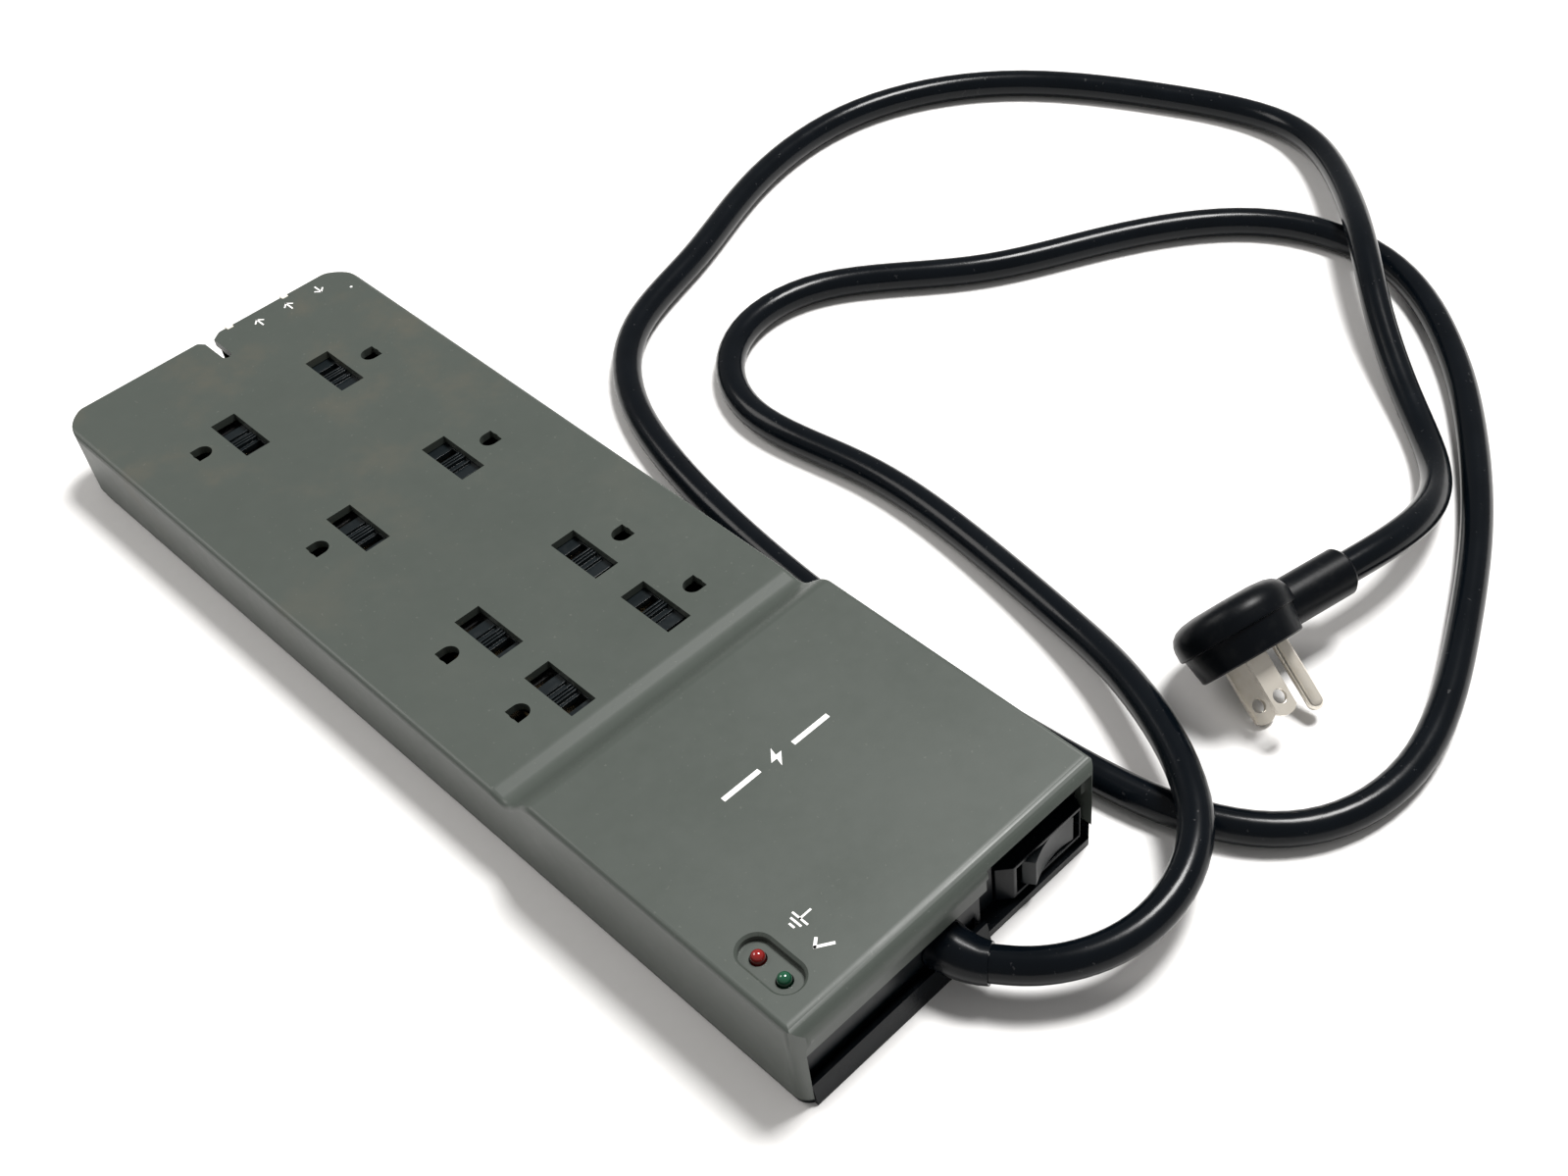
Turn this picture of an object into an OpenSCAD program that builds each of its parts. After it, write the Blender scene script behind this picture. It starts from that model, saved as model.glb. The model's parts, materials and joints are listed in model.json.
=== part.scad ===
// Eight-outlet surge protector strip: finger-sliding outlet shutters, rocker switch,
// two indicator lamps, telephone-line protection, and a cord with a flat three-pin plug.
// Millimetres. X runs along the strip to the cord end, Y across it, Z up.
// The origin is the centre of the underside.

/* [Housing] */
// Wall thickness of the cover
wall = 2.5; // [2.2:0.1:2.6]
// Height of the low deck that carries the outlets
low_h = 24; // [24:0.5:26]
// Height of the raised deck at the cord end
raised_h = 32; // [31:0.5:34]
// Plan radius of the two corners at the telephone end
far_r = 13; // [10:1:14]
// Plan radius of the two corners at the cord end
near_r = 5; // [3:1:6]
// Radius of the long top edges
edge_r = 1.8; // [1:0.2:2.2]
// Radius of the top edge over the cord end
brow_r = 5; // [4:0.5:6]
// Depth of the shallow trough at the foot of the step
trough = 0.75; // [0.2:0.05:1]

/* [Outlets] */
// Distance between the two blade slots
blade_pitch = 12.7; // [12.7:0.1:12.8]
// Distance from the blade line to the earth hole
earth_offset = 11.9; // [11.8:0.1:12]
// Length of each cover window
window_l = 19.5; // [19:0.1:20]
// Width of each cover window
window_w = 8; // [7.8:0.1:8.4]
// Travel of a shutter from open to closed
shutter_travel = 4; // [3.6:0.1:4]

/* [Rocker switch] */
// Tilt of the rocker either side of level
rocker_tilt = 8; // [6:1:8]
// Radius of the rocker's hinge pins
rocker_pin_r = 1.25; // [1:0.05:1.4]
// Radial clearance of the hinge pins
pin_gap = 0.05; // [0.03:0.01:0.1]

/* [Cord and plug] */
// Outside diameter of the cord
cord_d = 9.4; // [9:0.1:9.6]
// Length of the plug blades
blade_len = 17.2; // [16:0.1:18]
// Width of the plug blades
blade_w = 6.35; // [6.2:0.05:6.4]
// Thickness of the plug blades
blade_t = 1.5; // [1.4:0.05:1.6]
// Radius of the plug's earth pin
earth_r = 2.4; // [2.35:0.05:2.4]
// Length of the plug's earth pin
earth_len = 20.6; // [20:0.1:21]

/* [Hidden] */
half_l = 161.5;
half_w = 51;
gap = 0.3;
eps = 0.5;
round_fn = 48;

// Step between the decks
step_x0 = 49.5;
step_dip = 55;
step_x1 = 68.5;
low_in = low_h - wall;
raised_in = raised_h - wall;

// Outlet rows along X and the blade line of each column across Y
rows = [-114.5, -54.5, 5.5, 35.5];
col_y = 17.75;
window_shift = 1.65;
earth_hole_r = 2.8;
earth_flat = 2.6;

// Shutter plate and the guide below it
shutter_l = 21;
shutter_w = 9.5;
shutter_t = 1.8;
shutter_top = low_in - gap;
shutter_floor = shutter_top - shutter_t - gap;
guide_t = 2.6;
guide_x0 = -132;
guide_x1 = 52.5;

// Contact strips
strip_t = 0.8;
strip_z = 6;
strip_h = 6;
strip_x0 = -124;
strip_x1 = 70;
earth_strip_x1 = 61.5;
clip_z0 = 7;
clip_z1 = 16;
leaf_t = 0.5;
leaf_gap = 1.3;
earth_clip_z0 = 4;
earth_clip_z1 = 9.5;

// Base
floor_t = 2.1;
base_inset = 0.6;
panel_x = 158;
panel_t = 2;
rim_h = 5.6;
screw_x = [-136, -24, 80];
screw_y = 44;
key_x = 100;
key_r = 4.25;
key_slot_r = 2.1;
key_len = 7;

// Circuit boards
board_t = 1.6;
board_z = 7;
board_top = board_z + board_t;
board_x0 = 62;
board_x1 = 118;
board_y = 38;
phone_board_z = 4.2;

// Indicator recess
lamp_c = [143.1, -41.2];
lamp_x = [138.8, 147.5];
lamp_y = -41.4;
lamp_floor = raised_h - 2.3;
lamp_r = 1.8;
lamp_hole_r = 2.15;
lamp_board_z = 21;

// Rocker switch
rocker_c = [152, 34.3];
rocker_z0 = 5.9;
rocker_z1 = 15.1;
well_half = 11.6;
switch_z0 = 4.2;
switch_z1 = 16.8;
switch_y0 = 18;
switch_y1 = 47.7;
switch_x0 = 137;
switch_x1 = 159.2;
bay_x = 155.5;
bay_y0 = 10.5;
lip_step = 0.8;

// Telephone jacks: low and high Y of each
jack_out_1 = [7.3, 18.4];
jack_out_2 = [18.6, 29.7];
jack_in = [32.3, 43.7];
jack_z0 = 5.8;
jack_z1 = 21.1;
jack_mid_z = 12;
jack_front = -160.9;
jack_x1 = -147;
ear_w = 2.2;

// Cord outlet
cord_r = cord_d / 2;
exit_y = -3;
exit_z = 12;
boot_start = [158.3, exit_y, exit_z];

// Plug pose: middle of the blades on the front face, then its two angles
plug_o = [160.2, 111.5, 15.5];
plug_dip = 33;
plug_turn = -12;
boss_back = 8;
boss_end = 40;
function turn_z(p, a) = [p.x * cos(a) - p.y * sin(a), p.x * sin(a) + p.y * cos(a), p.z];
function dip_y(p, a) = [p.x * cos(a) + p.z * sin(a), p.y, p.z * cos(a) - p.x * sin(a)];
function plug_point(p) = plug_o + turn_z(dip_y(p, plug_dip), plug_turn);
cord_end = plug_point([-boss_back, boss_end, 0]);
cord_lead = plug_point([-boss_back, boss_end + 31, 0]);

// Control points of the cord, from the strain relief to the plug
cord_points = [
    [171, 0.5, 12], [183, 8, 13], [196, 30, 15], [188, 65, 17.5], [143, 88, 14],
    [115, 97, 7], [65, 106, 4.7], [21, 109, 4.7], [-23, 96, 4.7], [-57, 119, 4.7],
    [-58, 162, 4.7], [-15, 198, 4.7], [2, 240, 4.7], [34, 288, 4.7], [84, 298, 4.7],
    [124, 268, 4.7], [146, 244, 4.7], [172, 209, 4.7], [191, 172, 4.7], [214, 122, 4.7],
    [204, 82, 4.7], [170, 65, 4.7], [129, 62, 4.7], [74, 58, 4.7], [8, 63, 4.7],
    [-54, 76, 4.7], [-86, 104, 4.7], [-94, 144, 4.7], [-115, 186, 4.7], [-122, 243, 4.7],
    [-91, 295, 4.7], [-38, 322, 4.7], [12, 342, 4.7], [51, 311, 12], [79, 281, 18.5],
    [101, 258, 12], [128, 237, 4.7], [155, 216, 4.7], cord_lead, cord_end,
];
cord_sides = 10;
rings_per_span = 2;

// Curve through the control points: one cubic span between each pair
function span(a, b, c, d, t) =
    (pow(1 - t, 3) * a + (3 * pow(t, 3) - 6 * t * t + 4) * b
    + (-3 * pow(t, 3) + 3 * t * t + 3 * t + 1) * c + pow(t, 3) * d) / 6;
function padded(p) =
    concat([2 * p[0] - p[1]], p, [2 * p[len(p) - 1] - p[len(p) - 2]]);
function curve(p, n) =
    let (q = padded(p))
    concat([for (i = [0:len(q) - 4]) for (k = [0:n - 1])
        span(q[i], q[i + 1], q[i + 2], q[i + 3], k / n)], [p[len(p) - 1]]);
function unit(v) = v / norm(v);
function heading(p, i) =
    unit(p[min(i + 1, len(p) - 1)] - p[max(i - 1, 0)]);
function ring(c, dir, r, n) =
    let (side = unit(cross([0, 0, 1], dir)), up = cross(dir, side))
    [for (k = [0:n - 1]) c + r * (cos(360 * k / n) * side + sin(360 * k / n) * up)];

// Tube of varying radius through a list of points
module tube(path, radii, n, first, last) {
    m = len(path);
    dirs = [for (i = [0:m - 1])
        i == 0 ? first : i == m - 1 ? last : heading(path, i)];
    pts = [for (i = [0:m - 1]) each ring(path[i], dirs[i], radii[i], n)];
    sides = [for (i = [0:m - 2]) for (k = [0:n - 1])
        [i * n + k, (i + 1) * n + k, (i + 1) * n + (k + 1) % n, i * n + (k + 1) % n]];
    start = [for (k = [0:n - 1]) k];
    finish = [for (k = [0:n - 1]) (m - 1) * n + n - 1 - k];
    polyhedron(pts, concat([start], sides, [finish]));
}

// Thin insulated wire that follows its control points smoothly
module wire(points, r) {
    path = curve(points, 4);
    last = len(points) - 1;
    tube(path, [for (p = path) r], 10,
        unit(points[1] - points[0]), unit(points[last] - points[last - 1]));
}

// Box between two opposite corners
module block(a, b) {
    translate(a) cube(b - a);
}

// Places children at each outlet of a column: side -1 is low Y, side 1 is high Y
module at_outlet(row, side) {
    translate([rows[row], 0, 0])
        rotate([0, 0, side < 0 ? 0 : 180])
        translate([0, -col_y, 0]) children();
}

module each_outlet() {
    for (row = [0:3]) {
        at_outlet(row, -1) children();
        at_outlet(row, 1) children();
    }
}

// Height of the top surface at a place along X
function rise(x, low, high, x0, dip, x1) =
    x <= x0 ? low
    : x <= dip ? low - trough * (1 - cos(180 * (x - x0) / (dip - x0))) / 2
    : x < x1 ? low - trough
        + (high - low + trough) * (1 - cos(180 * (x - dip) / (x1 - dip))) / 2
    : high;

step_stations = concat(
    [for (k = [0:3]) step_x0 + k * (step_dip - step_x0) / 4],
    [for (k = [0:12]) step_dip + k * (step_x1 - step_dip) / 12]
);

// Outline of the top surface seen from the side, with rounded ends
module side_outline() {
    far = [for (k = [0:6]) [-half_l + edge_r * (1 - sin(15 * k)),
        low_h - edge_r * (1 - cos(15 * k))]];
    mid = [for (x = step_stations)
        [x, rise(x, low_h, raised_h, step_x0, step_dip, step_x1)]];
    near = [for (k = [0:9]) [half_l - brow_r * (1 - sin(10 * k)),
        raised_h - brow_r * (1 - cos(10 * k))]];
    far_rev = [for (k = [6:-1:0]) far[k]];
    polygon(concat([[half_l, 2.4], [-half_l, 2.4]], far_rev, mid, near));
}

// Plan outline, inset from the housing's edge
module plan_outline(inset) {
    l = half_l - inset;
    w = half_w - inset;
    rf = far_r - inset;
    rn = max(near_r - inset, 1);
    translate([-l + rf, -w]) square([2 * l - rf - rn, 2 * w]);
    translate([-l, -w + rf]) square([rf + 1, 2 * (w - rf)]);
    translate([l - rn - 1, -w + rn]) square([rn + 1, 2 * (w - rn)]);
    for (s = [-1, 1]) {
        translate([-l + rf, s * (w - rf)]) circle(r = rf, $fn = 64);
        translate([l - rn, s * (w - rn)]) circle(r = rn, $fn = round_fn);
    }
}

// Cross-section with rounded long edges, top at the given height
function edge_points(h) = concat(
    [for (k = [0:5]) [-half_w + edge_r * (1 - cos(18 * k)), h - edge_r * (1 - sin(18 * k))]],
    [for (k = [5:-1:0]) [half_w - edge_r * (1 - cos(18 * k)), h - edge_r * (1 - sin(18 * k))]]
);

module deck_block(x0, x1, h) {
    translate([x0, 0, 0]) rotate([90, 0, 90])
        linear_extrude(height = x1 - x0)
        polygon(concat([[-half_w, 0]], edge_points(h), [[half_w, 0]]));
}

// Lofted length that carries the step between the two decks
module step_block() {
    n = 14;
    m = len(step_stations);
    pts = [for (x = step_stations)
        each [for (p = concat([[-half_w, 0]],
            edge_points(rise(x, low_h, raised_h, step_x0, step_dip, step_x1)),
            [[half_w, 0]])) [x, p.x, p.y]]];
    skin = [for (i = [0:m - 2]) for (k = [0:n - 1])
        [i * n + k, (i + 1) * n + k, (i + 1) * n + (k + 1) % n, i * n + (k + 1) % n]];
    start = [for (k = [0:n - 1]) n - 1 - k];
    finish = [for (k = [0:n - 1]) (m - 1) * n + k];
    polyhedron(pts, concat([start], [for (f = skin) [f[3], f[2], f[1], f[0]]], [finish]));
}

// Hollow under the decks, open below
module cover_hollow() {
    intersection() {
        translate([0, 0, -1]) linear_extrude(height = raised_h)
            plan_outline(wall);
        rotate([90, 0, 0]) translate([0, 0, -half_w])
            linear_extrude(height = 2 * half_w)
            polygon([[-half_l, -1], [-half_l, low_in], [step_dip + 3, low_in],
                [step_x1 - 1, raised_in - 0.4],
                [step_x1 + 1.5, raised_in], [half_l, raised_in], [half_l, -1]]);
    }
}

module stadium(l, w) {
    r = w / 2;
    square([l - w, w], center = true);
    for (s = [-1, 1]) translate([s * (l - w) / 2, 0]) circle(r = r, $fn = round_fn);
}

module earth_outline() {
    circle(r = earth_hole_r, $fn = round_fn);
    translate([-earth_hole_r, -earth_flat]) square([2 * earth_hole_r, earth_flat]);
}

module cover_shell() {
    difference() {
        intersection() {
            union() {
                deck_block(-half_l, step_x0, low_h);
                step_block();
                deck_block(step_x1, half_l, raised_h);
            }
            linear_extrude(height = raised_h + 1) plan_outline(0);
            rotate([90, 0, 0]) translate([0, 0, -half_w - 1])
                linear_extrude(height = 2 * half_w + 2) side_outline();
        }
        cover_hollow();
    }
}

module cover_bosses() {
    for (x = screw_x) for (s = [-1, 1])
        translate([x, s * screw_y, 5.9])
            cylinder(h = (x > step_x1 ? raised_in : low_in) - 5.9 + eps, r = 3.2, $fn = 32);
    // pad and posts around the indicator recess
    translate([lamp_c.x, lamp_c.y, lamp_floor - wall])
        linear_extrude(height = raised_in - lamp_floor + wall + eps) stadium(23.5, 13);
    for (x = [lamp_c.x - 9.8, lamp_c.x + 9.8])
        translate([x, lamp_c.y, lamp_board_z + board_t])
            cylinder(h = lamp_floor - wall - lamp_board_z - board_t + eps, r = 1.1, $fn = 24);
}

// Face of the stepped lip, rounded where it meets the side wall
module lip_outline() {
    translate([-half_w + wall, -1]) square([half_w - wall + bay_y0, 23.6]);
    translate([-half_w + wall + 4, 20]) square([half_w - wall - 4 + bay_y0, 6.6]);
    translate([-half_w + wall + 4, 22.6]) circle(r = 4, $fn = 32);
}

module top_cover() {
    color([0.34, 0.36, 0.34])
    difference() {
        union() {
            cover_shell();
            cover_bosses();
        }
        // screw pilot holes
        for (x = screw_x) for (s = [-1, 1])
            translate([x, s * screw_y, 5]) cylinder(h = 10.5, r = 1.55, $fn = 24);
        // outlet windows and earth holes
        each_outlet() {
            translate([window_shift - window_l / 2, -window_w / 2, low_in - 1])
                cube([window_l, window_w, wall + 2]);
            translate([0, -earth_offset, low_in - 1])
                linear_extrude(height = wall + 2) earth_outline();
        }
        // indicator recess with its two lamp holes
        translate([lamp_c.x, lamp_c.y, lamp_floor])
            linear_extrude(height = 4) stadium(18.5, 8.6);
        hull() {
            translate([lamp_c.x, lamp_c.y, raised_h - 0.7])
                linear_extrude(height = 0.01) stadium(18.5, 8.6);
            translate([lamp_c.x, lamp_c.y, raised_h + 0.1])
                linear_extrude(height = 0.01) stadium(20.1, 10.2);
        }
        for (x = lamp_x)
            translate([x, lamp_y, lamp_floor - wall - 1])
                cylinder(h = wall + 2, r = lamp_hole_r, $fn = 32);
        // open bay under the brow at the cord end, with a stepped lip
        block([panel_x - 3, -half_w + wall, -1], [half_l + 1, half_w - wall, 21]);
        translate([half_l - lip_step, 0, 0]) rotate([90, 0, 90]) linear_extrude(height = 2)
            lip_outline();
        block([half_l - wall - 0.1, bay_y0, 20], [half_l + 1, 48, 29.2]);
        // cut away low corner beside the switch
        block([151, half_w - wall - 0.1, -1], [half_l + 1, half_w + 1, 8.5]);
        // slot and jack openings at the telephone end
        block([-half_l - 1, -1.5, -1], [-148.5, 1.5, low_h + 1]);
        translate([-148.5, 0, low_in - 1]) cylinder(h = wall + 2, r = 1.5, $fn = 24);
        translate([-half_l - 1, 0, -1]) linear_extrude(height = low_h + 2)
            polygon([[0, -4], [1, -4], [4.5, -1.4], [4.5, 1.4], [1, 6.4], [0, 6.4]]);
        block([-half_l - 1, 7, jack_z0 - gap], [-half_l + wall + 0.1, 30, jack_z1 + gap]);
        block([-half_l - 1, 32, jack_z0 - gap], [-half_l + 6, 44, jack_z1 + gap]);
        for (y = [jack_out_1[0] - gap, jack_out_2[1] + gap - ear_w - 2 * gap])
            block([-half_l - 1, y, jack_z1], [-half_l + wall + 0.1, y + ear_w + 2 * gap, low_h + 1]);
    }
}

module key_hole() {
    translate([0, 0, -1]) {
        cylinder(h = floor_t + 2, r = key_r, $fn = round_fn);
        translate([key_len, 0, 0]) cylinder(h = floor_t + 2, r = key_slot_r, $fn = 32);
        translate([0, -key_slot_r, 0]) cube([key_len, 2 * key_slot_r, floor_t + 2]);
    }
}

module base_tray() {
    rib_x = [-85, -25, 20.5, 58];
    color([0.03, 0.03, 0.03])
    difference() {
        union() {
            // floor plate, with a sloping skirt under the cord end
            linear_extrude(height = floor_t) plan_outline(base_inset);
            rotate([90, 0, 0]) translate([0, 0, -half_w + wall + gap])
                linear_extrude(height = 2 * (half_w - wall - gap))
                polygon([[panel_x - panel_t, 0], [half_l, 0], [half_l, 0.8], [160.3, 7],
                    [159.3, 7], [159.3, 2.5], [panel_x - panel_t, 2.5]]);
            // raised corner beside the switch
            intersection() {
                linear_extrude(height = 8.2) plan_outline(base_inset);
                block([151.3, half_w - wall - 1, 0], [half_l, half_w, 9]);
            }
            // locating rim
            difference() {
                linear_extrude(height = rim_h) plan_outline(wall + gap);
                translate([0, 0, floor_t]) linear_extrude(height = rim_h)
                    plan_outline(wall + gap + 1.8);
            }
            // end panel behind the brow
            block([panel_x - panel_t, -47.4, 1], [panel_x, bay_y0, 28.6]);
            block([bay_x - 2.5, bay_y0 - 2, 1], [panel_x, bay_y0, 28.6]);
            block([bay_x - 2, bay_y0 - 2, 1], [bay_x, 48.2, 28.6]);
            // cross ribs under the contact strips
            for (x = rib_x)
                block([x - 1, -36, 1], [x + 1, 36, strip_z]);
            // cover screw posts
            for (x = screw_x) for (s = [-1, 1])
                translate([x, s * screw_y, 0]) cylinder(h = 5.7, r = 4.1, $fn = 32);
            // board posts
            for (x = [board_x0 + 4, board_x1 - 4]) for (s = [-1, 1])
                translate([x, s * (board_y - 4), 1]) cylinder(h = board_z - 1, r = 3, $fn = 32);
            // ledges under the telephone board, the switch and the cord clamp
            block([-154.5, 7, 1], [-152, 42, phone_board_z]);
            block([-145, 7, 1], [-142, 42, phone_board_z]);
            block([140, 19, 1], [bay_x, 47, switch_z0]);
            block([136, -14, 1], [148, 8, exit_z - cord_r]);
        }
        for (x = screw_x) for (s = [-1, 1])
            translate([x, s * screw_y, 0]) {
                translate([0, 0, -1]) cylinder(h = 4.2, r = 3.2, $fn = 32);
                translate([0, 0, 2]) cylinder(h = 5, r = 1.7, $fn = 24);
            }
        for (x = [board_x0 + 4, board_x1 - 4]) for (s = [-1, 1])
            translate([x, s * (board_y - 4), 3]) cylinder(h = 6, r = 1.3, $fn = 24);
        for (s = [-1, 1]) translate([s * key_x, 0, 0]) key_hole();
        // slot at the telephone end and clearance for the jacks
        block([-half_l, -1.5, -1], [-154, 1.5, 9]);
        block([-half_l, 6.9, floor_t + 1], [-half_l + 6, 45, 9]);
        // switch bay, its window, and the cord hole in the end panel
        block([bay_x, bay_y0, 2.6], [half_l + 1, half_w - wall - 0.3, 12]);
        block([160.3, bay_y0, -1], [half_l + 1, half_w, 3]);
        block([switch_x0 - gap, switch_y0 - gap, switch_z0],
            [bay_x + 1, switch_y1 + gap, switch_z1 + gap]);
        // shadow groove at the foot of the end panel
        block([panel_x - 0.8, -47.4, 2.5], [panel_x + 0.1, bay_y0 - 2, 9.5]);
        translate([panel_x - 4, exit_y, exit_z]) rotate([0, 90, 0])
            cylinder(h = 8, r = 6.6, $fn = round_fn);
        // groove for the cord over the clamp ledge
        translate([135, exit_y, exit_z]) rotate([0, 90, 0])
            cylinder(h = 14, r = cord_r + 0.1, $fn = round_fn);
    }
}

// Sliding shutter in outlet coordinates; the opening lies at its low X end
module shutter() {
    color([0.02, 0.02, 0.02])
    difference() {
        union() {
            translate([-5, -shutter_w / 2, shutter_top - shutter_t])
                cube([shutter_l, shutter_w, shutter_t]);
            translate([-1.2, -3.6, shutter_top - eps]) cube([0.5, 7.2, eps + 0.9]);
            for (x = [1.2, 2.3, 3.4])
                translate([x, -3.6, shutter_top - eps]) cube([0.55, 7.2, eps + 1.3]);
        }
        translate([blade_pitch / 2 - 1.45, -3.8, shutter_top - 3])
            cube([2.9, 7.6, 4]);
    }
}

module shutter_left_1() { at_outlet(0, -1) shutter(); }
module shutter_left_2() { at_outlet(1, -1) shutter(); }
module shutter_left_3() { at_outlet(2, -1) shutter(); }
module shutter_left_4() { at_outlet(3, -1) shutter(); }
module shutter_right_1() { at_outlet(0, 1) shutter(); }
module shutter_right_2() { at_outlet(1, 1) shutter(); }
module shutter_right_3() { at_outlet(2, 1) shutter(); }
module shutter_right_4() { at_outlet(3, 1) shutter(); }

// Guide under one column of shutters: floor, two rails, and blade slots
module guide(side) {
    color([0.10, 0.10, 0.10])
    difference() {
        translate([guide_x0, side * col_y - 7.5, shutter_floor - guide_t])
            cube([guide_x1 - guide_x0, 15, low_in - shutter_floor + guide_t]);
        translate([guide_x0 - 1, side * col_y - shutter_w / 2 - gap, shutter_floor])
            cube([guide_x1 - guide_x0 + 2, shutter_w + 2 * gap, 5]);
        for (row = [0:3]) at_outlet(row, side)
            for (s = [-1, 1])
                translate([s * blade_pitch / 2 - 1.6, -4.2, shutter_floor - guide_t - 1])
                    cube([3.2, 8.4, guide_t + 2]);
    }
}

module shutter_guide_left() { guide(-1); }
module shutter_guide_right() { guide(1); }

// Blade contact strip; the clips stand at clip_x beside each row's centre
module blade_strip(side, clip_x, strip_y) {
    reach = strip_y > 0 ? [3.5, strip_y] : [strip_y, -3.5];
    color([0.80, 0.62, 0.30]) {
        translate([strip_x0, side * col_y + (side < 0 ? 1 : -1) * strip_y - strip_t / 2, strip_z])
            cube([strip_x1 - strip_x0, strip_t, strip_h]);
        for (row = [0:3]) at_outlet(row, side) {
            for (s = [-1, 1])
                translate([clip_x + s * (leaf_gap + leaf_t) / 2 - leaf_t / 2, -4, clip_z0])
                    cube([leaf_t, 8, clip_z1 - clip_z0]);
            translate([clip_x - leaf_gap / 2 - leaf_t, reach[0], clip_z0])
                cube([leaf_gap + 2 * leaf_t, reach[1] - reach[0], 0.8]);
        }
    }
}

module bus_hot_left() { blade_strip(-1, blade_pitch / 2, 6.6); }
module bus_hot_right() { blade_strip(1, blade_pitch / 2, 6.6); }
module bus_neutral_left() { blade_strip(-1, -blade_pitch / 2, -6.6); }
module bus_neutral_right() { blade_strip(1, -blade_pitch / 2, -6.6); }

// Earth contact strip with one split sleeve under each earth hole
module earth_strip(side) {
    y = side * (col_y + earth_offset);
    color([0.72, 0.56, 0.28]) {
        translate([strip_x0, y + side * 4.6 - strip_t / 2, strip_z])
            cube([earth_strip_x1 - strip_x0, strip_t, 4]);
        for (x = rows) translate([x, y, 0]) {
            difference() {
                translate([0, 0, earth_clip_z0])
                    cylinder(h = earth_clip_z1 - earth_clip_z0, r = 3.1, $fn = 32);
                translate([0, 0, earth_clip_z0 - 1])
                    cylinder(h = 8, r = 2.45, $fn = 32);
                translate([-0.6, side < 0 ? 0 : -4, earth_clip_z0 - 1]) cube([1.2, 4, 8]);
            }
            translate([-2, side < 0 ? -4.9 : 2.7, strip_z]) cube([4, 2.2, 0.8]);
        }
    }
}

module bus_ground_left() { earth_strip(-1); }
module bus_ground_right() { earth_strip(1); }

module circuit_board() {
    color([0.10, 0.30, 0.14])
    difference() {
        block([board_x0, -board_y, board_z], [board_x1, board_y, board_z + board_t]);
        for (x = [board_x0 + 4, board_x1 - 4]) for (s = [-1, 1])
            translate([x, s * (board_y - 4), board_z - 1]) cylinder(h = 4, r = 1.4, $fn = 24);
        // clearance for the contact strips
        for (s = [-1, 1]) for (y = [11.15, 24.35])
            block([board_x0 - 1, s * y - 0.8, board_z - 1], [strip_x1 + 1, s * y + 0.8, 10]);
    }
}

module board_screws() {
    color([0.70, 0.70, 0.72])
    for (x = [board_x0 + 4, board_x1 - 4]) for (s = [-1, 1])
        translate([x, s * (board_y - 4), 0]) {
            translate([0, 0, 3.5]) cylinder(h = 7, r = 1.25, $fn = 24);
            difference() {
                translate([0, 0, board_z + board_t]) cylinder(h = 1.8, r = 2.4, $fn = 24);
                translate([-1.8, -0.3, board_z + board_t + 1.2]) cube([3.6, 0.6, 1]);
            }
        }
}

module varistors() {
    color([0.10, 0.22, 0.50])
    for (i = [0:2]) translate([89 + 6.5 * i, 14, board_top + 9.5]) {
        rotate([0, 90, 0]) cylinder(h = 4.2, r = 8, $fn = round_fn);
        for (s = [-1, 1]) translate([2.1, 3.75 * s, -9.5]) cylinder(h = 4, r = 0.5, $fn = 16);
    }
}

module thermal_fuse() {
    color([0.75, 0.75, 0.78]) {
        translate([97, 0, board_top + 4]) rotate([0, 90, 0]) cylinder(h = 11, r = 2, $fn = 24);
        for (x = [95.5, 109.5]) {
            translate([x, 0, board_top]) cylinder(h = 4.4, r = 0.5, $fn = 16);
            translate([min(x, 108), 0, board_top + 4]) rotate([0, 90, 0])
                translate([0, 0, x < 100 ? -0.4 : 0]) cylinder(h = 1.9, r = 0.5, $fn = 16);
        }
    }
}

module filter_choke() {
    color([0.62, 0.36, 0.16])
    translate([76, 0, board_top]) {
        rotate_extrude($fn = round_fn) translate([7.5, 3.6]) circle(r = 3.6, $fn = 24);
    }
}

module filter_capacitor() {
    color([0.82, 0.62, 0.16])
    block([89, -23, board_top], [104, -13, board_top + 12]);
}

// Domed indicator lamp standing on its board
module lamp(x) {
    translate([x, lamp_y, lamp_board_z + board_t]) {
        cylinder(h = lamp_floor + 0.7 - lamp_board_z - board_t, r = lamp_r, $fn = 32);
        cylinder(h = 1, r = 2.5, $fn = 32);
        translate([0, 0, lamp_floor + 0.7 - lamp_board_z - board_t])
            intersection() {
                sphere(r = lamp_r, $fn = 32);
                cylinder(h = 2.5, r = 2.5, $fn = 32);
            }
    }
}

module led_red() { color([0.80, 0.05, 0.04]) lamp(lamp_x[0]); }
module led_green() { color([0.05, 0.55, 0.20]) lamp(lamp_x[1]); }

module led_board() {
    color([0.10, 0.30, 0.14])
    translate([lamp_c.x, lamp_c.y, lamp_board_z]) linear_extrude(height = board_t)
        square([24, 11], center = true);
}

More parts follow.
